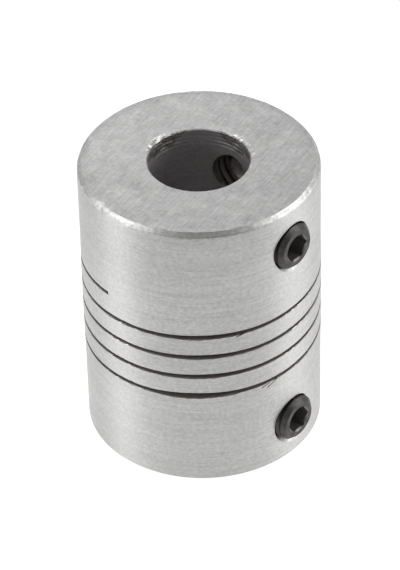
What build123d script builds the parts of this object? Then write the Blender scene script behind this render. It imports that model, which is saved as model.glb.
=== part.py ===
"""One-piece helical-beam shaft coupling with four hexagon-socket grub screws.

Millimetres. +Z is the coupling's axis. The origin is on the axis, in the plane of the lower end
face that the coupling stands on. The screws of each hub lie along +X (a) and +Y (b).
"""
from build123d import *
import os
from math import ceil, cos, radians, sin, sqrt, tan

# ---------------------------------------------------------------- driving dimensions
# turned body
body_diameter = 19.0
body_length = 25.0
rim_chamfer = 0.35

# the two shafts' bores, which meet at a step inside
upper_bore_diameter = 8.0
lower_bore_diameter = 5.0
upper_bore_depth = 12.5
bore_chamfer = 0.25

# the single right-hand slit that turns the middle of the body into a spring
slit_width = 0.4
slit_pitch = 1.97
slit_turns = 4.2
slit_below_middle = 0.1
slit_upper_end_angle = -98.0
slit_stops_per_turn = 24
blade_overrun = 0.3

# M4 tapped holes and where they lie
thread_diameter = 4.0
upper_screw_inset = 3.75
lower_screw_inset = 3.9
second_screw_angle = 90.0

# grub screws, and how far each pair stands out of the body
thread_clearance = 0.05
screw_length = 5.0
screw_face_chamfer = 0.4
socket_width = 2.0
socket_depth = 2.0
socket_point_angle = 120.0
cup_rim_diameter = 2.0
cup_angle = 120.0
upper_screw_proud = 0.45
lower_screw_proud = 0.6

# ---------------------------------------------------------------- derived sizes
body_radius = body_diameter / 2
upper_bore_radius = upper_bore_diameter / 2
lower_bore_radius = lower_bore_diameter / 2
bore_step_height = body_length - upper_bore_depth

slit_height = slit_turns * slit_pitch
slit_bottom = (body_length - slit_height) / 2 - slit_below_middle
slit_lower_end_angle = slit_upper_end_angle - 360 * slit_turns
blade_inside = min(lower_bore_radius, upper_bore_radius) - blade_overrun
blade_outside = body_radius + blade_overrun

upper_screw_height = body_length - upper_screw_inset
lower_screw_height = lower_screw_inset
tapped_hole_radius = thread_diameter / 2

screw_radius = tapped_hole_radius - thread_clearance
cup_rim_radius = cup_rim_diameter / 2
cup_depth = cup_rim_radius / tan(radians(cup_angle / 2))
socket_corner_radius = socket_width / sqrt(3)
socket_point_radius = socket_width / 2
socket_point_depth = socket_point_radius / tan(radians(socket_point_angle / 2))


def turned_blank():
    """The bar, faced and chamfered, with its two bores meeting at an inner step."""
    half_section = Polyline(
        (lower_bore_radius + bore_chamfer, 0),
        (body_radius - rim_chamfer, 0),
        (body_radius, rim_chamfer),
        (body_radius, body_length - rim_chamfer),
        (body_radius - rim_chamfer, body_length),
        (upper_bore_radius + bore_chamfer, body_length),
        (upper_bore_radius, body_length - bore_chamfer),
        (upper_bore_radius, bore_step_height),
        (lower_bore_radius, bore_step_height),
        (lower_bore_radius, bore_chamfer),
        close=True,
    )
    return revolve(Plane.XZ * make_face(half_section), Axis.Z)


def tapped_hole(height, angle):
    """One radial hole, from the middle of the bore out past the wall."""
    along_z = Cylinder(
        tapped_hole_radius,
        body_diameter,
        align=(Align.CENTER, Align.CENTER, Align.MIN),
    )
    return Pos(0, 0, height) * Rot(Z=angle) * Rot(Y=90) * along_z


def blade_corners(turned):
    """The saw blade's four corners after it has turned through this many degrees up the helix."""
    angle = radians(slit_lower_end_angle + turned)
    middle = slit_bottom + slit_pitch * turned / 360
    return [
        Vector(radius * cos(angle), radius * sin(angle), middle + side * slit_width / 2)
        for radius, side in (
            (blade_inside, -1),
            (blade_outside, -1),
            (blade_outside, 1),
            (blade_inside, 1),
        )
    ]


def flat_face(*corners):
    return Face(Wire.make_polygon(corners, close=True))


def helical_slit():
    """The saw's path: an upright blade that climbs a right-hand helix as the body turns.

    It reaches from inside the smaller bore to outside the body, so the cut goes right through the
    wall and leaves one continuous helical beam between the two hubs. Between one stop of the
    blade and the next, each twisted wall is two flat triangles, within 0.03 mm of the true helix.
    """
    stops = ceil(slit_turns * slit_stops_per_turn)
    blades = [blade_corners(360 * slit_turns * stop / stops) for stop in range(stops + 1)]
    faces = [flat_face(*blades[0]), flat_face(*blades[-1])]
    for here, there in zip(blades, blades[1:]):
        in_low, out_low, out_high, in_high = here
        next_in_low, next_out_low, next_out_high, next_in_high = there
        faces += [
            flat_face(in_low, out_low, next_out_low),
            flat_face(in_low, next_out_low, next_in_low),
            flat_face(in_high, out_high, next_out_high),
            flat_face(in_high, next_out_high, next_in_high),
            flat_face(out_low, out_high, next_out_high, next_out_low),
            flat_face(in_low, in_high, next_in_high, next_in_low),
        ]
    return Solid(Shell(faces))


def coupling_body():
    """Hubs and helical beam, all one piece of bar."""
    body = turned_blank()
    for height in (upper_screw_height, lower_screw_height):
        for angle in (0, second_screw_angle):
            body -= tapped_hole(height, angle)
    return body - helical_slit()


def grub_screw():
    """A headless cup-point screw along Z, its socket face at Z = 0 and its point below."""
    point_bevel = screw_radius - cup_rim_radius
    half_section = Polyline(
        (0, 0),
        (screw_radius - screw_face_chamfer, 0),
        (screw_radius, -screw_face_chamfer),
        (screw_radius, point_bevel - screw_length),
        (cup_rim_radius, -screw_length),
        (0, cup_depth - screw_length),
        close=True,
    )
    screw = revolve(Plane.XZ * make_face(half_section), Axis.Z)
    # two of the socket's corners lie level once the screw is in its hole
    hexagon = RegularPolygon(socket_corner_radius, 6, rotation=90)
    screw -= extrude(hexagon, -socket_depth)
    drill_point = Cone(
        socket_point_radius,
        0,
        socket_point_depth,
        rotation=(180, 0, 0),
        align=(Align.CENTER, Align.CENTER, Align.MIN),
    )
    return screw - Pos(0, 0, -socket_depth) * drill_point


def placed_screw(height, angle, proud):
    """A grub screw in its tapped hole, its face standing proud of the body."""
    face_radius = body_radius + proud
    return Pos(0, 0, height) * Rot(Z=angle) * Pos(face_radius, 0, 0) * Rot(Y=90) * grub_screw()


pieces = {
    "coupling_body": coupling_body(),
    "upper_grub_screw_a": placed_screw(upper_screw_height, 0, upper_screw_proud),
    "upper_grub_screw_b": placed_screw(upper_screw_height, second_screw_angle, upper_screw_proud),
    "lower_grub_screw_a": placed_screw(lower_screw_height, 0, lower_screw_proud),
    "lower_grub_screw_b": placed_screw(lower_screw_height, second_screw_angle, lower_screw_proud),
}

os.makedirs("parts", exist_ok=True)
for name, piece in pieces.items():
    export_step(piece, f"parts/{name}.step")
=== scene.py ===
"""The looks of a one-piece helical-beam shaft coupling and its four grub screws.

Sizes are in millimetres and are turned into metres by MM. +Z is the coupling's axis, the origin
lies in the plane of its lower end face, and the screws point along +X (a) and +Y (b).
"""
import math

import bpy
from mathutils import Matrix, Vector


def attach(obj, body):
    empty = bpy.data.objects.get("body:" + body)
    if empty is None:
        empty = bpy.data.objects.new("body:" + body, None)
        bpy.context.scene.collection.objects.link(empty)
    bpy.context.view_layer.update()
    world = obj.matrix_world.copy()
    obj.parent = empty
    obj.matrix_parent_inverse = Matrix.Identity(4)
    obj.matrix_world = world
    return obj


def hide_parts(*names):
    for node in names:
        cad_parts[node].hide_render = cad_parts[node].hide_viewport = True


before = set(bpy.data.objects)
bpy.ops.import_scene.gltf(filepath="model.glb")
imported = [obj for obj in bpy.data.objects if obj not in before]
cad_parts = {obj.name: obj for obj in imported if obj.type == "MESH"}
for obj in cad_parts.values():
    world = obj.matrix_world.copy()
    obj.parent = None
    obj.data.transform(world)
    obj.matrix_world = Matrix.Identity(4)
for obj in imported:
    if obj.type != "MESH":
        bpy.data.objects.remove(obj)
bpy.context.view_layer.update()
MM = 0.001


# ------------------------------------------------------------------------------------ camera
# A long lens looks down at about 39 degrees, with row a of the screws to the right, so that one
# screw of each hub faces it and the far upper hole shows inside the bore.
camera_azimuth, camera_elevation, camera_roll = -47.96, 38.87, -1.46
camera_distance, camera_side_shift, camera_target_height = 268.42, -0.14, 12.5

camera_data = bpy.data.cameras.new("camera")
camera_data.lens = 212.0
camera_data.sensor_width = 36.0
camera_data.clip_start = 0.01
camera = bpy.data.objects.new("camera", camera_data)
camera.matrix_world = (
    Matrix.Translation(Vector((0, 0, camera_target_height)) * MM)
    @ Matrix.Rotation(math.radians(camera_azimuth + 90), 4, "Z")
    @ Matrix.Rotation(math.radians(90 - camera_elevation), 4, "X")
    @ Matrix.Rotation(math.radians(camera_roll), 4, "Z")
    @ Matrix.Translation(Vector((camera_side_shift, 0, camera_distance)) * MM)
)
bpy.context.scene.collection.objects.link(camera)
bpy.context.scene.camera = camera


# -------------------------------------------------------------------- white table and light
# The coupling stands on a white acrylic table in a small light tent. The table glows, brighter round
# the coupling and dimmer further out: a painted pool of light. One large soft lamp hangs over it, a
# weaker one stands on each side, and the tent itself gives the rest.
bpy.context.scene.view_settings.view_transform = "Standard"
bpy.context.scene.view_settings.look = "None"
tent_opening = (0.74, -0.45, 0.5)
tent_shades = ((0.1, (0.42, 0.42, 0.43, 1.0)), (0.8, (0.1, 0.1, 0.1, 1.0)))
table_width, table_gap = 1200, 0.02
# the table's painted pool of light: where it starts to fade, where it ends, its glow inside and its
# glow outside
pool_start, pool_end, pool_light, far_light = 42, 75, 0.92, 0.6
lamp_aim_height = 12


def node(tree, kind, inputs=None, **settings):
    """A node with its settings made and its inputs set, or linked where a socket is given."""
    made = tree.nodes.new(kind)
    for name, value in settings.items():
        setattr(made, name, value)
    for name, value in (inputs or {}).items():
        for one in value if isinstance(value, list) else [value]:
            if isinstance(one, bpy.types.NodeSocket):
                tree.links.new(one, made.inputs[name])
            else:
                made.inputs[name].default_value = one
    return made


def new_paint(name):
    """A material with its tree, its shader and its object coordinates."""
    paint = bpy.data.materials.new(name)
    paint.use_nodes = True
    tree = paint.node_tree
    place = node(tree, "ShaderNodeTexCoord").outputs["Object"]
    return paint, tree, tree.nodes["Principled BSDF"], place


tent = bpy.data.worlds.new("light_tent")
tent.use_nodes = True
bpy.context.scene.world = tent
tree = tent.node_tree
opening = node(
    tree,
    "ShaderNodeVectorMath",
    {0: node(tree, "ShaderNodeTexCoord").outputs["Generated"], 1: tent_opening},
    operation="DOT_PRODUCT",
)
tent_wall = node(tree, "ShaderNodeValToRGB", {"Fac": opening.outputs["Value"]})
for stop, (facing, shade) in zip(tent_wall.color_ramp.elements, tent_shades):
    stop.position = facing
    stop.color = shade
tree.links.new(tent_wall.outputs["Color"], tree.nodes["Background"].inputs["Color"])

table_mesh = bpy.data.meshes.new("white_table")
half_table = table_width / 2 * MM
table_mesh.from_pydata(
    [
        (x * half_table, y * half_table, -table_gap * MM)
        for x, y in ((-1, -1), (1, -1), (1, 1), (-1, 1))
    ],
    [],
    [(0, 1, 2, 3)],
)
white_table = bpy.data.objects.new("white_table", table_mesh)
bpy.context.scene.collection.objects.link(white_table)

table_paint, tree, shader, place = new_paint("white_acrylic_painted_light_pool")
shader.inputs["Base Color"].default_value = (0.25, 0.25, 0.25, 1.0)
shader.inputs["Roughness"].default_value = 0.8
shader.inputs["Specular IOR Level"].default_value = 0.2
shader.inputs["Emission Color"].default_value = (1.0, 1.0, 1.0, 1.0)
from_middle = node(tree, "ShaderNodeVectorMath", {0: place}, operation="LENGTH").outputs["Value"]
# painted pool of light: the glow is strongest round the coupling and falls off further out
painted_light_pool = node(
    tree,
    "ShaderNodeMapRange",
    {"Value": from_middle, "From Min": pool_start * MM, "From Max": pool_end * MM,
     "To Min": pool_light, "To Max": far_light},
)
tree.links.new(painted_light_pool.outputs[0], shader.inputs["Emission Strength"])
table_mesh.materials.append(table_paint)


def soft_lamp(name, place, width, height, watts):
    """A soft rectangular lamp that points at the middle of the coupling."""
    lamp = bpy.data.lights.new(name, "AREA")
    lamp.shape = "RECTANGLE"
    lamp.size, lamp.size_y = width * MM, height * MM
    lamp.energy = watts
    lamp_object = bpy.data.objects.new(name, lamp)
    towards = (Vector((0, 0, lamp_aim_height)) - Vector(place)) * MM
    lamp_object.location = Vector(place) * MM
    lamp_object.rotation_euler = towards.to_track_quat("-Z", "Y").to_euler()
    bpy.context.scene.collection.objects.link(lamp_object)


def round_the_table(azimuth, distance, height):
    """A place given by the angle round from the camera, to the right, and its height."""
    turn = math.radians(azimuth + round(camera_azimuth))
    return (distance * math.cos(turn), distance * math.sin(turn), height)


soft_lamp("overhead_lamp", round_the_table(180, 120, 400), 400, 300, 1.08)
soft_lamp("left_lamp", round_the_table(-76, 350, 170), 170, 300, 0.64)
soft_lamp("right_lamp", round_the_table(86, 350, 165), 230, 290, 0.76)


# ---------------------------------------------------------------------------- coupling body
# One piece of 19 mm aluminium bar, turned, faced and bored from both ends, so that the two bores
# meet at a step. A slitting saw has cut one right-hand helix through the wall, and each hub has
# two tapped holes at right angles.
body_radius, body_length, rim_chamfer, rim_rounding = 9.5, 25.0, 0.33, 0.12
upper_bore_radius, lower_bore_radius, bore_step, bore_chamfer = 4.0, 2.5, 12.5, 0.08
slit_width, slit_pitch, slit_turns, slit_below_middle = 0.4, 1.97, 4.2, 0.02
slit_bottom = (body_length - slit_turns * slit_pitch) / 2 - slit_below_middle
slit_upper_end_angle = -98.0
slit_lower_end_angle = slit_upper_end_angle - 360 * slit_turns
upper_screw_height, lower_screw_height = 21.25, 3.9
thread_pitch, thread_depth, drill_radius, hole_radius, countersink = 0.7, 0.2, 1.78, 2.0, 0.2
thread_flank_slope, thread_crest_blend = 2.4, 0.15
tap_plain_end, tap_run_out, tap_stop_short, tool_overrun = 2.4, 0.01, 0.08, 0.8
sink_cone_height, sink_cone_inside = 1.2, 0.4
# how far each hub's countersinks lie off their holes, downwards and sideways
upper_sink_shift, lower_sink_shift = (0.14, 0.14), (0.2, -0.06)
body_segments, row_height, saw_stops_per_turn, crisp_bend = 360, 0.8, 240.0, 0.52
# bands of finer rows under the upper rim, along it and round the bore's mouth
upper_band, rim_band, mouth_band = 1.2, 1.0, 0.6
blade_inner_share, blade_overrun = 0.8, 0.5

# where one finish ends and the next begins
saw_margin, end_band, wall_start, hole_margin, hole_deep, level_limit = 0.8, 0.3, 0.08, 0.01, 0.6, 0.9

# wear and tool marks: reaches and depths
tool_mark_pitch, tool_mark_depth, tool_mark_reach = 0.34, 0.032, 1.7
rim_wear_reach, rim_wear_full, knock_depth, rub_depth = 0.75, 0.3, 0.035, 0.02
tear_width, tear_full, tear_top, least_reach, more_reach = 0.5, 0.2, 0.3, 0.6, 1.0
tear_low, tear_high, tear_grit, least_tear = -0.06, 0.07, 0.02, 0.15
torn_sides, tear_edge, tear_core = (math.radians(182), math.radians(72)), 0.78, 0.97
mouth_dent, dent_reach, dent_flat, dent_depth = (-4.1 * MM, -0.2 * MM, 25.0 * MM), 0.9, 0.2, 0.09
ring_spring, ring_end, ring_full = 0.03, 5.2, 3.4
skin, edge_break_lift, score_reach, score_width = 0.02, -0.02, 0.9, 0.09


def steps(start, end, spacing):
    """Evenly spaced points from start up to, but not including, end."""
    (x0, y0), (x1, y1) = start, end
    count = max(1, round(math.hypot(x1 - x0, y1 - y0) / spacing))
    return [(x0 + (x1 - x0) * i / count, y0 + (y1 - y0) * i / count) for i in range(count)]


def half_section():
    """The turned bar's half-section as a closed chain of (radius, height) points."""
    corners = [
        ((lower_bore_radius + bore_chamfer, 0), 0.5),
        ((body_radius - rim_chamfer, 0), 0.15),
        ((body_radius, rim_chamfer), row_height),
        ((body_radius, body_length - upper_band), 0.16),
        ((body_radius, body_length - rim_chamfer - rim_rounding), 0.1),
        ((body_radius - 0.3 * rim_rounding, body_length - rim_chamfer), 0.1),
        ((body_radius - rim_chamfer, body_length), 0.1),
        ((body_radius - rim_band, body_length), 0.5),
        ((upper_bore_radius + mouth_band, body_length), 0.1),
        ((upper_bore_radius + bore_chamfer, body_length), 0.06),
        ((upper_bore_radius, body_length - bore_chamfer), tool_mark_pitch / 6),
        ((upper_bore_radius, body_length - tool_mark_reach), 0.7),
        ((upper_bore_radius, bore_step), 0.5),
        ((lower_bore_radius, bore_step), 0.7),
        ((lower_bore_radius, bore_chamfer), 0.12),
    ]
    chain = []
    for (start, spacing), (end, _) in zip(corners, corners[1:] + corners[:1]):
        chain += steps(start, end, spacing)
    marked = []
    for radius, height in chain:
        depth = body_length - bore_chamfer - height
        if radius == upper_bore_radius and 0 < depth < tool_mark_reach:
            wave = 0.5 - 0.5 * math.cos(math.tau * depth / tool_mark_pitch)
            radius += tool_mark_depth * wave * math.sin(math.pi * depth / tool_mark_reach)
        marked.append((radius, height))
    return marked


def new_tree(name, sockets):
    """An empty geometry tree with a shape in and out and one named input for each size."""
    tree = bpy.data.node_groups.new(name, "GeometryNodeTree")
    tree.interface.new_socket("Shape", in_out="INPUT", socket_type="NodeSocketGeometry")
    for label, kind in sockets:
        tree.interface.new_socket(label, in_out="INPUT", socket_type="NodeSocket" + kind)
    tree.interface.new_socket("Shape", in_out="OUTPUT", socket_type="NodeSocketGeometry")
    return tree, tree.nodes.new("NodeGroupInput").outputs, tree.nodes.new("NodeGroupOutput").inputs


def maths(tree, operation, *values):
    """One Math node, which gives its output."""
    made = tree.nodes.new("ShaderNodeMath")
    made.operation = operation
    for socket, value in zip(made.inputs, values):
        if isinstance(value, bpy.types.NodeSocket):
            tree.links.new(value, socket)
        else:
            socket.default_value = value
    return made.outputs[0]


def polar(tree, radius, angle, height):
    """A point from its radius, its angle in radians and its height."""
    return node(
        tree,
        "ShaderNodeCombineXYZ",
        {
            "X": maths(tree, "MULTIPLY", radius, maths(tree, "COSINE", angle)),
            "Y": maths(tree, "MULTIPLY", radius, maths(tree, "SINE", angle)),
            "Z": height,
        },
    ).outputs[0]


# the saw sinks as the bar turns and is lifted back once a turn, where it also chatters and cuts wide
saw_sink, saw_lift, lift_start, lift_end = -0.06, 0.16, 0.79, 0.97
start_lift, start_reach = 0.12, 0.15
narrow_share, chatter_share, chatter_phase, chatter_reach = 0.8, 0.35, 0.86, 0.09
jam_share, jam_turn, jam_reach = 0.45, 3.88, 0.06
# where it slipped sideways: start angle, start height, turns and climb of each score
saw_slips = [(-32.5, 14.62, 0.014, 0.24), (-16.5, 8.48, 0.016, 0.50), (-19.5, 8.70, 0.012, 0.20)]


def ramp(tree, value, start, end):
    """Rises from 0 at start to 1 at end."""
    return node(
        tree, "ShaderNodeMapRange", {"Value": value, "From Min": start, "From Max": end}
    ).outputs[0]


def turns_down(tree, along):
    """How far the saw is below the slit's upper end, in turns, and the part of the turn it is in."""
    down = maths(tree, "MULTIPLY", maths(tree, "SUBTRACT", 1.0, along), slit_turns)
    return down, maths(tree, "FRACT", down)


def saw_drift(tree, along):
    """How many millimetres the saw has strayed above its helix."""
    down, phase = turns_down(tree, along)
    sinking = ramp(tree, phase, lift_start - 0.1, 0.0)
    lifted = maths(tree, "ADD", sinking, ramp(tree, phase, lift_start, lift_end))
    started = maths(tree, "MULTIPLY", ramp(tree, down, start_reach, 0.0), start_lift)
    return maths(tree, "ADD", started, maths(tree, "MULTIPLY_ADD", lifted, saw_lift, saw_sink))


def saw_swell(tree, along):
    """The slit's width there, as a share of the blade's."""
    down, phase = turns_down(tree, along)
    off_chatter = maths(tree, "ABSOLUTE", maths(tree, "SUBTRACT", phase, chatter_phase))
    off_jam = maths(tree, "ABSOLUTE", maths(tree, "SUBTRACT", down, jam_turn))
    chatter = maths(tree, "MULTIPLY", ramp(tree, off_chatter, chatter_reach, 0.0), chatter_share)
    jam = maths(tree, "MULTIPLY", ramp(tree, off_jam, jam_reach, 0.0), jam_share)
    return maths(tree, "ADD", narrow_share, maths(tree, "ADD", chatter, jam))


def saw_path_tree():
    """The saw's path at a radius: a right-hand helix from the slit's lower end to its upper."""
    tree, given, result = new_tree(
        "saw_path",
        [("Radius", "Float"), ("Lift", "Float"), ("Pitch", "Float"), ("Turns", "Float"),
         ("Bottom", "Float"), ("Lower End Angle", "Float"), ("Stops per Turn", "Float"),
         ("Wander", "Float")],
    )
    stops = maths(tree, "MULTIPLY", given["Turns"], given["Stops per Turn"])
    line = node(tree, "GeometryNodeCurvePrimitiveLine")
    chain = node(tree, "GeometryNodeResampleCurve", {"Curve": line.outputs[0], "Count": stops})
    along = node(tree, "GeometryNodeSplineParameter").outputs["Factor"]
    turned = maths(tree, "MULTIPLY", maths(tree, "MULTIPLY", given["Turns"], along), math.tau)
    angle = maths(tree, "ADD", maths(tree, "RADIANS", given["Lower End Angle"]), turned)
    climb = maths(tree, "MULTIPLY", maths(tree, "MULTIPLY", given["Turns"], given["Pitch"]), along)
    astray = maths(tree, "MULTIPLY", saw_drift(tree, along), given["Wander"])
    lifted = maths(tree, "ADD", astray, given["Lift"])
    height = maths(tree, "ADD", maths(tree, "ADD", given["Bottom"], climb), lifted)
    placed = node(
        tree,
        "GeometryNodeSetPosition",
        {"Geometry": chain.outputs[0], "Position": polar(tree, given["Radius"], angle, height)},
    )
    upright = node(tree, "GeometryNodeSetCurveNormal", {"Curve": placed.outputs[0]}, mode="Z_UP")
    tree.links.new(upright.outputs[0], result[0])
    return tree


saw_path = saw_path_tree()


def crisp(tree, shape):
    """Smooth shading, broken at every edge of more than about 30 degrees."""
    bend = node(tree, "GeometryNodeInputMeshEdgeAngle").outputs[0]
    smooth = node(
        tree, "GeometryNodeSetShadeSmooth", {0: shape, "Shade Smooth": True}, domain="FACE"
    )
    return node(
        tree,
        "GeometryNodeSetShadeSmooth",
        {0: smooth.outputs[0], "Selection": maths(tree, "GREATER_THAN", bend, crisp_bend),
         "Shade Smooth": False},
        domain="EDGE",
    ).outputs[0]


def sawn_path(tree, radius, lift, given):
    """The shared path as one node of another tree."""
    return node(
        tree,
        "GeometryNodeGroup",
        {
            "Radius": radius,
            "Lift": lift,
            "Pitch": given["Slit Pitch"],
            "Turns": given["Slit Turns"],
            "Bottom": given["Slit Bottom"],
            "Lower End Angle": given["Slit Lower End Angle"],
            "Stops per Turn": given["Stops per Turn"],
            "Wander": MM,
        },
        node_tree=saw_path,
    ).outputs[0]


def rough(tree, per_mm, low=-1.0, high=1.0, detail=2.0):
    """Fixed noise over the surface, with blobs per millimetre, spread between two values."""
    place = node(tree, "GeometryNodeInputPosition").outputs[0]
    noise = node(
        tree, "ShaderNodeTexNoise", {"Vector": place, "Scale": per_mm / MM, "Detail": detail}
    )
    return node(
        tree,
        "ShaderNodeMapRange",
        {"Value": noise.outputs["Fac"], "From Min": 0.3, "From Max": 0.7,
         "To Min": low, "To Max": high},
    ).outputs[0]


def painted(tree, shape, finish, where=True):
    """The shape with one finish where it is asked for."""
    return node(
        tree, "GeometryNodeSetMaterial", {"Geometry": shape, "Selection": where, "Material": finish}
    ).outputs[0]


def position(tree):
    """Each point's own x, y and z."""
    place = node(tree, "GeometryNodeInputPosition").outputs[0]
    return node(tree, "ShaderNodeSeparateXYZ", {0: place}).outputs


def length_of(tree, x, y):
    """How long the flat line with these two parts is."""
    squares = maths(tree, "ADD", maths(tree, "POWER", x, 2.0), maths(tree, "POWER", y, 2.0))
    return maths(tree, "SQRT", squares)


def threaded_rod_tree():
    """A rod along Z with its outer end at zero, a real helical thread and bevelled ends."""
    tree, given, result = new_tree(
        "threaded_rod",
        [("Radius", "Float"), ("Length", "Float"), ("Pitch", "Float"), ("Depth", "Float"),
         ("Plain End", "Float"), ("Run-Out", "Float"), ("End Bevel", "Float"),
         ("Point Bevel", "Float"), ("Corners", "Int"), ("Rows", "Int")],
    )
    rod = node(
        tree,
        "GeometryNodeMeshCylinder",
        {"Vertices": given["Corners"], "Side Segments": given["Rows"],
         "Radius": given["Radius"], "Depth": given["Length"]},
    )
    x, y, z = position(tree)
    half = maths(tree, "MULTIPLY", given["Length"], 0.5)
    depth = maths(tree, "SUBTRACT", half, z)
    angle = maths(tree, "ARCTAN2", y, x)
    travelled = maths(tree, "DIVIDE", depth, given["Pitch"])
    turn = maths(tree, "ADD", travelled, maths(tree, "DIVIDE", angle, math.tau))
    flank = maths(tree, "MULTIPLY", maths(tree, "PINGPONG", turn, 0.5), thread_flank_slope)
    groove = maths(tree, "SMOOTH_MIN", flank, 1.0, thread_crest_blend)
    whole = maths(tree, "LESS_THAN", depth, given["Plain End"])
    groove = maths(tree, "MAXIMUM", groove, whole)
    groove = maths(tree, "MULTIPLY", groove, ramp(tree, depth, 0.0, given["Run-Out"]))
    cut = maths(tree, "SUBTRACT", given["Radius"], maths(tree, "MULTIPLY", groove, given["Depth"]))
    outer = maths(tree, "ADD", maths(tree, "SUBTRACT", given["Radius"], given["End Bevel"]), depth)
    end_room = maths(tree, "SUBTRACT", given["Length"], depth)
    point_radius = maths(tree, "SUBTRACT", given["Radius"], given["Point Bevel"])
    inner = maths(tree, "ADD", point_radius, end_room)
    radius = maths(tree, "MINIMUM", cut, maths(tree, "MINIMUM", outer, inner))
    moved = node(
        tree,
        "GeometryNodeSetPosition",
        {"Geometry": rod.outputs[0],
         "Position": polar(tree, radius, angle, maths(tree, "MULTIPLY", depth, -1.0))},
    )
    tree.links.new(moved.outputs[0], result[0])
    return tree


threaded_rod = threaded_rod_tree()


def coupling_body_tree():
    """Turns the half-section round the axis, saws the slit and taps the four holes."""
    tree, given, result = new_tree(
        "coupling_body",
        [("Segments", "Int"), ("Body Radius", "Float"), ("Body Length", "Float"),
         ("Upper Bore Radius", "Float"), ("Upper Bore Depth", "Float"),
         ("Lower Bore Radius", "Float"),
         ("Slit Width", "Float"), ("Slit Pitch", "Float"), ("Slit Turns", "Float"),
         ("Slit Bottom", "Float"), ("Slit Lower End Angle", "Float"),
         ("Stops per Turn", "Float"),
         ("Upper Screw Height", "Float"), ("Lower Screw Height", "Float"),
         ("Drill Radius", "Float"), ("Hole Radius", "Float"), ("Countersink", "Float"),
         ("Thread Pitch", "Float"), ("Thread Depth", "Float"),
         ("Turned", "Material"), ("Faced", "Material"), ("Rim", "Material"),
         ("Torn", "Material"), ("Bored", "Material"), ("Sawn and Shaded", "Material"),
         ("Tapped and Shaded", "Material")],
    )
    section = node(tree, "GeometryNodeMeshToCurve", {"Mesh": given["Shape"]})
    spindle = node(
        tree,
        "GeometryNodeCurvePrimitiveCircle",
        {"Resolution": given["Segments"], "Radius": given["Body Radius"]},
    )
    blank = node(
        tree,
        "GeometryNodeCurveToMesh",
        {"Curve": spindle.outputs[0], "Profile Curve": section.outputs[0]},
    )
    x, y, z = position(tree)
    radius = length_of(tree, x, y)
    angle = maths(tree, "ARCTAN2", y, x)
    depth = maths(tree, "SUBTRACT", given["Body Length"], z)

    # handling has knocked the upper rim, and the boring tool has torn the mouth of the bore
    rim = maths(
        tree,
        "MULTIPLY",
        ramp(tree, radius, (body_radius - rim_wear_reach) * MM, (body_radius - rim_wear_full) * MM),
        ramp(tree, depth, rim_wear_reach * MM, rim_wear_full * MM),
    )
    knocks = maths(tree, "MAXIMUM", rough(tree, 0.45, -3.4, 1.4, detail=3.0), 0.0)
    rubbed = rough(tree, 3.0, 0.0, rub_depth * MM)
    knocked = maths(tree, "ADD", maths(tree, "MULTIPLY", knocks, knock_depth * MM), rubbed)
    rim_loss = maths(tree, "MULTIPLY", rim, knocked)
    mouth = maths(
        tree,
        "MULTIPLY",
        ramp(tree, radius, (upper_bore_radius + tear_width) * MM, (upper_bore_radius + tear_full) * MM),
        ramp(tree, depth, tool_mark_reach * MM, tear_full * MM),
    )
    coarse_tears = rough(tree, 1.2, tear_low * MM, tear_high * MM)
    fine_tears = rough(tree, 4.0, -tear_grit * MM, tear_grit * MM)
    torn = maths(tree, "ADD", coarse_tears, fine_tears)
    place = node(tree, "GeometryNodeInputPosition").outputs[0]
    from_dent = node(
        tree, "ShaderNodeVectorMath", {0: place, 1: mouth_dent}, operation="DISTANCE"
    ).outputs["Value"]
    at_tears = []
    for side in torn_sides:
        facing = maths(tree, "COSINE", maths(tree, "SUBTRACT", angle, side))
        at_tears.append(ramp(tree, facing, tear_edge, tear_core))
    torn_here = maths(tree, "MAXIMUM", *at_tears)
    torn = maths(tree, "MULTIPLY", torn, maths(tree, "MAXIMUM", torn_here, least_tear))
    dented = ramp(tree, from_dent, dent_reach * MM, dent_flat * MM)
    torn = maths(tree, "MULTIPLY_ADD", dented, dent_depth * MM, torn)
    torn_radius = maths(tree, "ADD", radius, maths(tree, "MULTIPLY", mouth, torn))
    new_radius = maths(tree, "SUBTRACT", torn_radius, rim_loss)

    # sawing has sprung the rings out a little, between the two rows of screws
    half_length = maths(tree, "MULTIPLY", given["Body Length"], 0.5)
    from_middle = maths(tree, "ABSOLUTE", maths(tree, "SUBTRACT", depth, half_length))
    skin_radius = maths(tree, "SUBTRACT", given["Body Radius"], skin * MM)
    between_screws = maths(tree, "ABSOLUTE", maths(tree, "SINE", maths(tree, "MULTIPLY", angle, 2.0)))
    in_rings = ramp(tree, from_middle, ring_end * MM, ring_full * MM)
    sprung = maths(
        tree,
        "MULTIPLY",
        maths(tree, "MULTIPLY", in_rings, between_screws),
        maths(tree, "GREATER_THAN", radius, skin_radius),
    )
    new_radius = maths(tree, "MULTIPLY_ADD", sprung, ring_spring * MM, new_radius)
    mouth_top = maths(tree, "MULTIPLY", mouth, ramp(tree, depth, tear_top * MM, 0.0))
    mouth_loss = maths(tree, "MULTIPLY", mouth_top, maths(tree, "ABSOLUTE", torn))
    sunk = maths(tree, "SUBTRACT", z, maths(tree, "MAXIMUM", rim_loss, mouth_loss))
    worn = node(
        tree,
        "GeometryNodeSetPosition",
        {"Geometry": blank.outputs[0], "Position": polar(tree, new_radius, angle, sunk)},
    )

    # the slitting saw reaches past both skins of the wall
    inside = maths(tree, "MULTIPLY", given["Lower Bore Radius"], blade_inner_share)
    outside = maths(tree, "ADD", given["Body Radius"], blade_overrun * MM)
    middle = maths(tree, "MULTIPLY", maths(tree, "ADD", inside, outside), 0.5)
    blade = node(
        tree,
        "GeometryNodeCurvePrimitiveQuadrilateral",
        {"Width": maths(tree, "SUBTRACT", outside, inside), "Height": given["Slit Width"]},
    )
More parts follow.
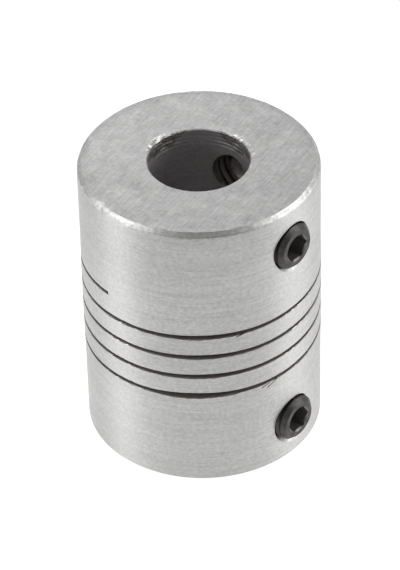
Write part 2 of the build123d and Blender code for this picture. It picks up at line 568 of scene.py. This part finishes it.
    # the saw chattered and cut wide in places
    swell = saw_swell(tree, node(tree, "GeometryNodeSplineParameter").outputs["Factor"])
    path = tree.nodes.new("GeometryNodeCaptureAttribute")
    path.capture_items.new("FLOAT", "Share")
    path.capture_items.new("FLOAT", "Middle")
    tree.links.new(sawn_path(tree, middle, 0.0, given), path.inputs["Geometry"])
    tree.links.new(swell, path.inputs["Share"])
    tree.links.new(z, path.inputs["Middle"])
    even_slit = node(
        tree,
        "GeometryNodeCurveToMesh",
        {"Curve": path.outputs["Geometry"], "Profile Curve": blade.outputs[0], "Fill Caps": True},
    )
    off_middle = maths(tree, "SUBTRACT", z, path.outputs["Middle"])
    widened = maths(tree, "MULTIPLY", off_middle, maths(tree, "SUBTRACT", path.outputs["Share"], 1.0))
    slit = node(
        tree,
        "GeometryNodeSetPosition",
        {"Geometry": even_slit.outputs[0],
         "Offset": node(tree, "ShaderNodeCombineXYZ", {"Z": widened}).outputs[0]},
    )
    broken_edge = node(
        tree,
        "GeometryNodeCurvePrimitiveCircle",
        {"Resolution": 4, "Radius": maths(tree, "MULTIPLY", given["Slit Width"], 0.5)},
    )
    ragged = maths(tree, "MULTIPLY", swell, rough(tree, 1.6, 0.85, 1.35, detail=3.0))
    edge_break = node(
        tree,
        "GeometryNodeCurveToMesh",
        {"Curve": sawn_path(tree, given["Body Radius"], edge_break_lift * MM, given),
         "Profile Curve": broken_edge.outputs[0], "Scale": ragged, "Fill Caps": True},
    )
    tool_marks = [slit.outputs[0], edge_break.outputs[0]]

    # where the saw slipped out of its cut and scored the bar beside it
    score = node(
        tree,
        "GeometryNodeCurvePrimitiveQuadrilateral",
        {"Width": score_reach * MM, "Height": score_width * MM},
    )
    for start_angle, start_height, turns, climb in saw_slips:
        slip = node(
            tree,
            "GeometryNodeGroup",
            {"Radius": given["Body Radius"], "Lift": 0.0, "Pitch": climb / turns * MM,
             "Turns": turns, "Bottom": start_height * MM, "Lower End Angle": start_angle,
             "Stops per Turn": 360.0, "Wander": 0.0},
            node_tree=saw_path,
        )
        scored = node(
            tree,
            "GeometryNodeCurveToMesh",
            {"Curve": slip.outputs[0], "Profile Curve": score.outputs[0], "Fill Caps": True},
        )
        tool_marks.append(scored.outputs[0])

    # each hole is drilled through, and tapped from outside to just short of its bore
    reach = maths(tree, "ADD", given["Body Radius"], tool_overrun * MM)
    drill = node(
        tree,
        "GeometryNodeMeshCylinder",
        {"Vertices": 72, "Radius": given["Drill Radius"], "Depth": given["Body Radius"]},
    )
    drilling = node(
        tree,
        "GeometryNodeTransform",
        {"Geometry": drill.outputs[0],
         "Translation": node(tree, "ShaderNodeCombineXYZ", {
             "Z": maths(tree, "MULTIPLY", given["Body Radius"], -0.5)}).outputs[0]},
    ).outputs[0]
    sink_reach = maths(tree, "ADD", given["Hole Radius"], given["Countersink"])
    cone_outside = sink_cone_height - sink_cone_inside
    sink_cone = node(
        tree,
        "GeometryNodeMeshCone",
        {"Vertices": 96, "Side Segments": 6, "Depth": sink_cone_height * MM,
         "Radius Top": maths(tree, "ADD", sink_reach, cone_outside * MM),
         "Radius Bottom": maths(tree, "SUBTRACT", sink_reach, sink_cone_inside * MM)},
    )
    for height, bore, (down, aside) in (
        (given["Upper Screw Height"], given["Upper Bore Radius"], upper_sink_shift),
        (given["Lower Screw Height"], given["Lower Bore Radius"], lower_sink_shift),
    ):
        sinking = node(
            tree,
            "GeometryNodeTransform",
            {"Geometry": sink_cone.outputs[0],
             "Translation": (down * MM, aside * MM, -sink_cone_height * MM)},
        ).outputs[0]
        stop_short = maths(tree, "ADD", bore, tap_stop_short * MM)
        tap = node(
            tree,
            "GeometryNodeGroup",
            {"Radius": maths(tree, "ADD", given["Hole Radius"], given["Thread Depth"]),
             "Length": maths(tree, "SUBTRACT", reach, stop_short), "Pitch": given["Thread Pitch"],
             "Depth": given["Thread Depth"], "Plain End": tap_plain_end * MM,
             "Run-Out": tap_run_out * MM, "End Bevel": 0.0, "Point Bevel": 0.0,
             "Corners": 60, "Rows": 76},
            node_tree=threaded_rod,
        )
        for turn in (0.0, math.pi / 2):
            place = polar(tree, reach, turn, height)
            for tool in (drilling, tap.outputs[0], sinking):
                tool_marks.append(
                    node(
                        tree,
                        "GeometryNodeTransform",
                        {"Geometry": tool, "Translation": place,
                         "Rotation": (0.0, math.pi / 2, turn)},
                    ).outputs[0]
                )
    cut = node(
        tree,
        "GeometryNodeMeshBoolean",
        {"Mesh 1": worn.outputs[0], "Mesh 2": tool_marks},
        operation="DIFFERENCE",
        solver="MANIFOLD",
    )

    whole = node(tree, "GeometryNodeRealizeInstances", {"Geometry": crisp(tree, cut.outputs[0])})

    # each surface gets the finish of the tool that made it, and the walls of the slit and of the tapped
    # holes are painted darker as well: painted shade in these narrow hollows
    normal = node(tree, "GeometryNodeInputNormal").outputs[0]
    facing_up = node(tree, "ShaderNodeSeparateXYZ", {0: normal}).outputs[2]
    past_step = maths(tree, "ADD", given["Upper Bore Depth"], 0.01 * MM)
    upper_half = maths(tree, "LESS_THAN", depth, past_step)
    widening = maths(tree, "SUBTRACT", given["Upper Bore Radius"], given["Lower Bore Radius"])
    bore_here = maths(tree, "MULTIPLY_ADD", upper_half, widening, given["Lower Bore Radius"])
    inside_skin = maths(tree, "LESS_THAN", radius, skin_radius)
    in_wall = maths(
        tree,
        "MULTIPLY",
        maths(tree, "GREATER_THAN", maths(tree, "SUBTRACT", radius, bore_here), wall_start * MM),
        inside_skin,
    )
    slit_height = maths(tree, "MULTIPLY", given["Slit Turns"], given["Slit Pitch"])
    half_slit = maths(tree, "MULTIPLY", slit_height, 0.5)
    by_saw = maths(tree, "LESS_THAN", from_middle, maths(tree, "ADD", half_slit, saw_margin * MM))
    from_end = maths(tree, "SUBTRACT", half_length, from_middle)
    at_rim = maths(
        tree,
        "MULTIPLY",
        maths(tree, "LESS_THAN", from_end, (rim_chamfer + rim_rounding) * MM),
        maths(tree, "GREATER_THAN", radius, (body_radius - rim_chamfer - skin) * MM),
    )
    at_end = maths(tree, "LESS_THAN", from_end, end_band * MM)
    finished = painted(tree, whole.outputs[0], given["Turned"])
    finished = painted(tree, finished, given["Bored"], inside_skin)
    reaching = rough(tree, 0.8, 0.0, 1.0)
    tear_depth = maths(tree, "MULTIPLY_ADD", reaching, more_reach * MM, least_reach * MM)
    mouth_radius = maths(tree, "ADD", given["Upper Bore Radius"], tear_width * MM)
    at_mouth = maths(
        tree,
        "MULTIPLY",
        maths(tree, "LESS_THAN", depth, maths(tree, "MULTIPLY", torn_here, tear_depth)),
        maths(tree, "LESS_THAN", radius, mouth_radius),
    )
    finished = painted(tree, finished, given["Torn"], at_mouth)
    hole_height = maths(
        tree,
        "MULTIPLY_ADD",
        upper_half,
        maths(tree, "SUBTRACT", given["Upper Screw Height"], given["Lower Screw Height"]),
        given["Lower Screw Height"],
    )
    beside = maths(tree, "MINIMUM", maths(tree, "ABSOLUTE", x), maths(tree, "ABSOLUTE", y))
    above = maths(tree, "SUBTRACT", z, hole_height)
    from_hole = length_of(tree, beside, above)
    hole_edge = maths(tree, "ADD", given["Hole Radius"], hole_margin * MM)
    deep_radius = maths(tree, "SUBTRACT", given["Body Radius"], hole_deep * MM)
    in_hole = maths(
        tree,
        "MAXIMUM",
        maths(tree, "LESS_THAN", from_hole, hole_edge),
        maths(tree, "LESS_THAN", radius, deep_radius),
    )
    finished = painted(tree, finished, given["Rim"], in_wall)
    # tapped walls: painted darker, a painted shade inside the holes
    finished = painted(tree, finished, given["Tapped and Shaded"], maths(tree, "MULTIPLY", in_wall, in_hole))
    # sawn walls: a rough sawn finish, painted darker as shade deep in the slit
    finished = painted(tree, finished, given["Sawn and Shaded"], maths(tree, "MULTIPLY", in_wall, by_saw))
    finished = painted(tree, finished, given["Rim"], at_rim)
    level = maths(tree, "GREATER_THAN", maths(tree, "ABSOLUTE", facing_up), level_limit)
    finished = painted(tree, finished, given["Faced"], maths(tree, "MULTIPLY", level, at_end))
    tree.links.new(finished, result[0])
    return tree


def run_tree(name, base, tree, settings):
    """Runs a tree on a base mesh and keeps the result as a plain mesh object at the origin."""
    worker = bpy.data.objects.new(name + "_work", base)
    bpy.context.scene.collection.objects.link(worker)
    modifier = worker.modifiers.new("shape", "NODES")
    modifier.node_group = tree
    for item in tree.interface.items_tree:
        if item.in_out == "INPUT" and item.name in settings:
            modifier[item.identifier] = settings[item.name]
    depsgraph = bpy.context.evaluated_depsgraph_get()
    depsgraph.update()
    mesh = bpy.data.meshes.new_from_object(
        worker.evaluated_get(depsgraph), preserve_all_data_layers=True, depsgraph=depsgraph
    )
    mesh.name = name
    worker.modifiers.remove(modifier)
    bpy.data.objects.remove(worker)
    piece = bpy.data.objects.new(name, mesh)
    bpy.context.scene.collection.objects.link(piece)
    return piece


def grain(tree, place, stretch, turn=0.0, detail=3.0):
    """Noise drawn out along a tool's travel: blobs per millimetre along each axis."""
    turned = node(tree, "ShaderNodeMapping", {"Vector": place, "Rotation": (0.0, 0.0, turn)})
    stretched = node(
        tree,
        "ShaderNodeMapping",
        {"Vector": turned.outputs[0], "Scale": tuple(value / MM for value in stretch)},
    )
    return node(
        tree, "ShaderNodeTexNoise", {"Vector": stretched.outputs[0], "Scale": 1.0, "Detail": detail}
    ).outputs["Fac"]


def spread(tree, factor, low, high):
    """A grey value between two, by a noise that lies mostly from 0.3 to 0.7."""
    return node(
        tree,
        "ShaderNodeMapRange",
        {"Value": factor, "From Min": 0.3, "From Max": 0.7, "To Min": low, "To Max": high},
    ).outputs[0]


def metal(name, tint, roughness, groove, shades, bump_depth, streak=0.0, painted_shade_and_darkening=None, metallic=1.0):
    """Bare metal whose shade, gloss and relief all follow its tool marks."""
    paint, tree, shader, place = new_paint(name)
    marks = groove(tree, place)
    cloud = grain(tree, place, (0.12, 0.12, 0.12), detail=2.0)
    shade = maths(tree, "MULTIPLY", spread(tree, marks, *shades), spread(tree, cloud, 0.95, 1.05))
    # an optional overlay multiplies the colour: painted shade, and darkening round a rim
    if painted_shade_and_darkening:
        shade = maths(tree, "MULTIPLY", shade, painted_shade_and_darkening(tree, place))
    colour = node(
        tree,
        "ShaderNodeMix",
        {"Factor": 1.0, 6: shade, 7: (*tint, 1.0)},
        data_type="RGBA",
        blend_type="MULTIPLY",
    )
    tree.links.new(colour.outputs[2], shader.inputs["Base Color"])
    tree.links.new(spread(tree, marks, roughness + 0.05, roughness - 0.05), shader.inputs["Roughness"])
    relief = node(
        tree, "ShaderNodeBump", {"Height": marks, "Distance": bump_depth * MM, "Strength": 1.0}
    )
    tree.links.new(relief.outputs[0], shader.inputs["Normal"])
    shader.inputs["Metallic"].default_value = metallic
    if streak:
        shader.inputs["Anisotropic"].default_value = streak
        shader.inputs["Anisotropic Rotation"].default_value = 0.25
        tangent = node(tree, "ShaderNodeTangent", direction_type="RADIAL", axis="Z")
        tree.links.new(tangent.outputs[0], shader.inputs["Tangent"])
    return paint


def weighted(tree, *parts):
    """The sum of several noises, each with its share."""
    total = 0.0
    for share, part in parts:
        total = maths(tree, "MULTIPLY_ADD", part, share, total)
    return total


def turned_grooves(tree, place):
    """Feed marks round the axis, fine and coarse, over the metal's own mottle."""
    return weighted(
        tree,
        (0.35, grain(tree, place, (0.2, 0.2, 9.0), detail=4.0)),
        (0.15, grain(tree, place, (0.10, 0.10, 1.6), detail=2.0)),
        (0.50, grain(tree, place, (3.5, 3.5, 5.0), detail=3.0)),
    )


def painted_side_shade_and_rim_darkening(tree, place):
    """Painted shade over a faced end, darker to one side, and darker round the rim as well."""
    x, y, _ = node(tree, "ShaderNodeSeparateXYZ", {0: place}).outputs
    across = maths(tree, "MULTIPLY_ADD", x, 0.962, maths(tree, "MULTIPLY", y, -0.272))
    # painted shade: one side of the end is painted darker than the other
    side = node(
        tree,
        "ShaderNodeMapRange",
        {"Value": across, "From Min": -9.5 * MM, "From Max": 9.5 * MM, "To Min": 1.14, "To Max": 0.82},
    ).outputs[0]
    radius = node(
        tree,
        "ShaderNodeVectorMath",
        {0: node(tree, "ShaderNodeCombineXYZ", {"X": x, "Y": y}).outputs[0]},
        operation="LENGTH",
    ).outputs["Value"]
    # darker round the rim
    rim = node(
        tree,
        "ShaderNodeMapRange",
        {"Value": radius, "From Min": 8.0 * MM, "From Max": 9.3 * MM, "To Min": 1.0, "To Max": 0.9},
    ).outputs[0]
    return maths(tree, "MULTIPLY", side, rim)


def faced_scratches(tree, place):
    """Scratches that cross a faced end in one direction, over two sizes of mottle."""
    return weighted(
        tree,
        (0.40, grain(tree, place, (7.0, 0.5, 1.0), turn=math.radians(-10), detail=4.0)),
        (0.30, grain(tree, place, (3.0, 3.0, 3.0), detail=3.0)),
        (0.30, grain(tree, place, (0.9, 0.9, 0.9), detail=2.0)),
    )


def torn_patches(tree, place):
    """Patches of metal that the boring tool has pulled out."""
    return weighted(
        tree,
        (0.60, grain(tree, place, (1.3, 1.3, 1.3), detail=3.0)),
        (0.40, grain(tree, place, (3.0, 3.0, 9.0), detail=3.0)),
    )


aluminium_tint = (1.0, 1.0, 0.975)
turned_finish = metal(
    "turned_aluminium", aluminium_tint, 0.45, turned_grooves, (0.45, 0.65), 0.004, streak=0.8
)
# the faced ends carry painted shade, darker to one side, and are darker round the rim
faced_finish = metal(
    "faced_aluminium", (1.0, 1.0, 0.985), 0.42, faced_scratches, (0.31, 0.69), 0.007,
    painted_shade_and_darkening=painted_side_shade_and_rim_darkening,
)
rim_finish = metal("rim_aluminium", aluminium_tint, 0.5, turned_grooves, (0.34, 0.74), 0.006)
torn_finish = metal("torn_aluminium", (1.0, 0.97, 0.94), 0.5, torn_patches, (0.1, 0.55), 0.02)
bored_finish = metal(
    "bored_aluminium", (1.0, 0.975, 0.975), 0.5, turned_grooves, (0.45, 0.65), 0.006
)
# the sawn walls are darker than the turned metal: partly their rough sawn finish, partly painted shade
# in the slit
sawn_and_shaded_finish = metal(
    "sawn_aluminium_painted_shade", (1.0, 0.92, 0.86), 0.6, faced_scratches, (0.2, 0.34), 0.01, metallic=0.4
)
# the tapped threads are painted darker than the bored metal: painted shade inside the holes
tapped_and_shaded_finish = metal("tapped_aluminium_painted_shade", (1.0, 0.94, 0.9), 0.6, turned_grooves, (0.26, 0.42), 0.01)

section_mesh = bpy.data.meshes.new("half_section")
chain = half_section()
section_mesh.from_pydata(
    [((radius - body_radius) * MM, -height * MM, 0.0) for radius, height in reversed(chain)],
    [(i, (i + 1) % len(chain)) for i in range(len(chain))],
    [],
)
coupling = run_tree(
    "coupling_turned_body",
    section_mesh,
    coupling_body_tree(),
    {
        "Segments": body_segments,
        "Body Radius": body_radius * MM,
        "Body Length": body_length * MM,
        "Upper Bore Radius": upper_bore_radius * MM,
        "Upper Bore Depth": (body_length - bore_step) * MM,
        "Lower Bore Radius": lower_bore_radius * MM,
        "Slit Width": slit_width * MM,
        "Slit Pitch": slit_pitch * MM,
        "Slit Turns": slit_turns,
        "Slit Bottom": slit_bottom * MM,
        "Slit Lower End Angle": slit_lower_end_angle,
        "Stops per Turn": saw_stops_per_turn,
        "Upper Screw Height": upper_screw_height * MM,
        "Lower Screw Height": lower_screw_height * MM,
        "Drill Radius": drill_radius * MM,
        "Hole Radius": hole_radius * MM,
        "Countersink": countersink * MM,
        "Thread Pitch": thread_pitch * MM,
        "Thread Depth": thread_depth * MM,
        "Turned": turned_finish,
        "Faced": faced_finish,
        "Rim": rim_finish,
        "Torn": torn_finish,
        "Bored": bored_finish,
        "Sawn and Shaded": sawn_and_shaded_finish,
        "Tapped and Shaded": tapped_and_shaded_finish,
    },
)
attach(coupling, "body")
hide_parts("coupling_body")


# ------------------------------------------------------------------------------- grub screws
# Four M4 headless hexagon-socket screws, 5 mm long, of alloy steel blackened in hot salts. Their
# threads are rolled, the socket is broached over a drilled hole, and the point is a turned cup.
screw_radius, screw_length, screw_thread_depth = 1.95, 5.0, 0.36
face_bevel, point_bevel = 0.38, 0.85
socket_width, socket_depth, socket_mouth = 2.06, 2.0, 0.13
cup_radius, screw_run_out = 1.0, 1.6
upper_proud, lower_proud = 0.45, 0.6


def grub_screw_tree():
    """A threaded rod with a hexagon socket in its outer end and a cup in its point."""
    tree, given, result = new_tree(
        "grub_screw",
        [("Radius", "Float"), ("Length", "Float"), ("Pitch", "Float"), ("Depth", "Float"),
         ("End Bevel", "Float"), ("Point Bevel", "Float"), ("Socket Width", "Float"),
         ("Socket Depth", "Float"), ("Socket Mouth", "Float"), ("Cup Radius", "Float"),
         ("Finish", "Material"), ("Socket Painted Light", "Material"), ("Point Finish", "Material")],
    )
    rod = node(
        tree,
        "GeometryNodeGroup",
        {"Radius": given["Radius"], "Length": given["Length"], "Pitch": given["Pitch"],
         "Depth": given["Depth"], "Plain End": 0.0, "Run-Out": screw_run_out * MM,
         "End Bevel": given["End Bevel"], "Point Bevel": given["Point Bevel"],
         "Corners": 72, "Rows": 86},
        node_tree=threaded_rod,
    )
    corner = maths(tree, "DIVIDE", given["Socket Width"], math.sqrt(3))
    hexagon = node(
        tree,
        "GeometryNodeMeshCylinder",
        {"Vertices": 6, "Radius": corner,
         "Depth": maths(tree, "MULTIPLY", given["Socket Depth"], 2.0)},
    )
    level = node(
        tree,
        "GeometryNodeTransform",
        {"Geometry": hexagon.outputs[0], "Rotation": (0.0, 0.0, math.pi / 2)},
    )
    socket_drill_radius = maths(tree, "MULTIPLY", given["Socket Width"], 0.49)
    drill_height = maths(tree, "MULTIPLY", socket_drill_radius, math.tan(math.radians(30)))
    drill = node(
        tree,
        "GeometryNodeMeshCone",
        {"Vertices": 48, "Radius Top": 0.0, "Radius Bottom": socket_drill_radius,
         "Depth": drill_height},
    )
    drill_point = node(
        tree,
        "GeometryNodeTransform",
        {"Geometry": drill.outputs[0], "Rotation": (math.pi, 0.0, 0.0),
         "Translation": node(tree, "ShaderNodeCombineXYZ", {
             "Z": maths(tree, "MULTIPLY", given["Socket Depth"], -0.999)}).outputs[0]},
    )
    mouth = node(
        tree,
        "GeometryNodeMeshCone",
        {"Vertices": 48, "Radius Bottom": maths(tree, "SUBTRACT", corner, given["Socket Mouth"]),
         "Radius Top": maths(tree, "ADD", corner, given["Socket Mouth"]),
         "Depth": maths(tree, "MULTIPLY", given["Socket Mouth"], 2.0)},
    )
    sunk_mouth = node(
        tree,
        "GeometryNodeTransform",
        {"Geometry": mouth.outputs[0],
         "Translation": node(tree, "ShaderNodeCombineXYZ", {
             "Z": maths(tree, "MULTIPLY", given["Socket Mouth"], -0.85)}).outputs[0]},
    )
    cup_height = maths(tree, "MULTIPLY", given["Cup Radius"], math.tan(math.radians(30)))
    cup = node(
        tree,
        "GeometryNodeMeshCone",
        {"Vertices": 48, "Radius Top": 0.0,
         "Radius Bottom": maths(tree, "MULTIPLY", given["Cup Radius"], 1.9),
         "Depth": maths(tree, "MULTIPLY", cup_height, 2.0)},
    )
    cup_lift = maths(tree, "MULTIPLY", cup_height, -0.95)
    sunk_cup = node(
        tree,
        "GeometryNodeTransform",
        {"Geometry": cup.outputs[0],
         "Translation": node(tree, "ShaderNodeCombineXYZ", {
             "Z": maths(tree, "SUBTRACT", cup_lift, given["Length"])}).outputs[0]},
    )
    cut = node(
        tree,
        "GeometryNodeMeshBoolean",
        {"Mesh 1": rod.outputs[0],
         "Mesh 2": [level.outputs[0], drill_point.outputs[0], sunk_mouth.outputs[0],
                    sunk_cup.outputs[0]]},
        operation="DIFFERENCE",
        solver="MANIFOLD",
    )
    whole = node(tree, "GeometryNodeRealizeInstances", {"Geometry": crisp(tree, cut.outputs[0])})
    x, y, z = position(tree)
    radius = length_of(tree, x, y)
    in_socket = maths(
        tree,
        "MULTIPLY",
        maths(tree, "LESS_THAN", radius, maths(tree, "ADD", corner, given["Socket Mouth"])),
        maths(tree, "LESS_THAN", z, -0.01 * MM),
    )
    point_start = maths(tree, "SUBTRACT", given["Point Bevel"], given["Length"])
    at_point = maths(tree, "LESS_THAN", z, point_start)
    finished = painted(tree, whole.outputs[0], given["Finish"])
    # the socket and its mouth chamfer are painted lighter than the blackened skin: a painted reflection
    # on the chamfer and painted light in the socket
    finished = painted(tree, finished, given["Socket Painted Light"], in_socket)
    finished = painted(tree, finished, given["Point Finish"], at_point)
    tree.links.new(finished, result[0])
    return tree


def oxide(name, shades, tint, roughness, metallic):
    """Steel under a thin salt-blackened skin, cloudy and rubbed thin in spots."""
    paint, tree, shader, place = new_paint(name)
    cloud = grain(tree, place, (1.3, 1.3, 1.3), detail=4.0)
    specks = grain(tree, place, (5.0, 5.0, 5.0), detail=2.0)
    skin = weighted(tree, (0.6, cloud), (0.4, specks))
    colour = node(
        tree,
        "ShaderNodeMix",
        {"Factor": 1.0, 6: spread(tree, skin, *shades), 7: (*tint, 1.0)},
        data_type="RGBA",
        blend_type="MULTIPLY",
    )
    tree.links.new(colour.outputs[2], shader.inputs["Base Color"])
    tree.links.new(spread(tree, cloud, roughness + 0.1, roughness - 0.1), shader.inputs["Roughness"])
    relief = node(
        tree, "ShaderNodeBump", {"Height": specks, "Distance": 0.01 * MM, "Strength": 1.0}
    )
    tree.links.new(relief.outputs[0], shader.inputs["Normal"])
    shader.inputs["Metallic"].default_value = metallic
    return paint


black_steel = oxide("blackened_steel", (0.035, 0.09), (1.0, 0.93, 0.9), 0.45, 0.6)
# painted lighter than the blackened steel: a painted reflection and painted light for the socket
socket_painted_light = oxide("socket_painted_light", (0.13, 0.24), (1.0, 0.95, 0.92), 0.45, 0.7)
ground_steel = oxide("ground_steel", (0.2, 0.5), (1.0, 0.88, 0.82), 0.5, 0.9)

grub_screw = grub_screw_tree()
screw_sizes = {
    "Radius": screw_radius * MM,
    "Length": screw_length * MM,
    "Pitch": thread_pitch * MM,
    "Depth": screw_thread_depth * MM,
    "End Bevel": face_bevel * MM,
    "Point Bevel": point_bevel * MM,
    "Socket Width": socket_width * MM,
    "Socket Depth": socket_depth * MM,
    "Socket Mouth": socket_mouth * MM,
    "Cup Radius": cup_radius * MM,
    "Finish": black_steel,
    "Socket Painted Light": socket_painted_light,
    "Point Finish": ground_steel,
}
for hub, height, proud in (
    ("upper", upper_screw_height, upper_proud),
    ("lower", lower_screw_height, lower_proud),
):
    for row, turn in (("a", 0.0), ("b", math.pi / 2)):
        nothing = bpy.data.meshes.new("empty")
        screw = run_tree(f"{hub}_screw_{row}_threaded", nothing, grub_screw, screw_sizes)
        screw.data.transform(
            Matrix.Translation(Vector((0, 0, height * MM)))
            @ Matrix.Rotation(turn, 4, "Z")
            @ Matrix.Translation(Vector(((body_radius + proud) * MM, 0, 0)))
            @ Matrix.Rotation(math.pi / 2, 4, "Y")
        )
        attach(screw, f"{hub}_screw_{row}")
        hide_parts(f"{hub}_grub_screw_{row}")
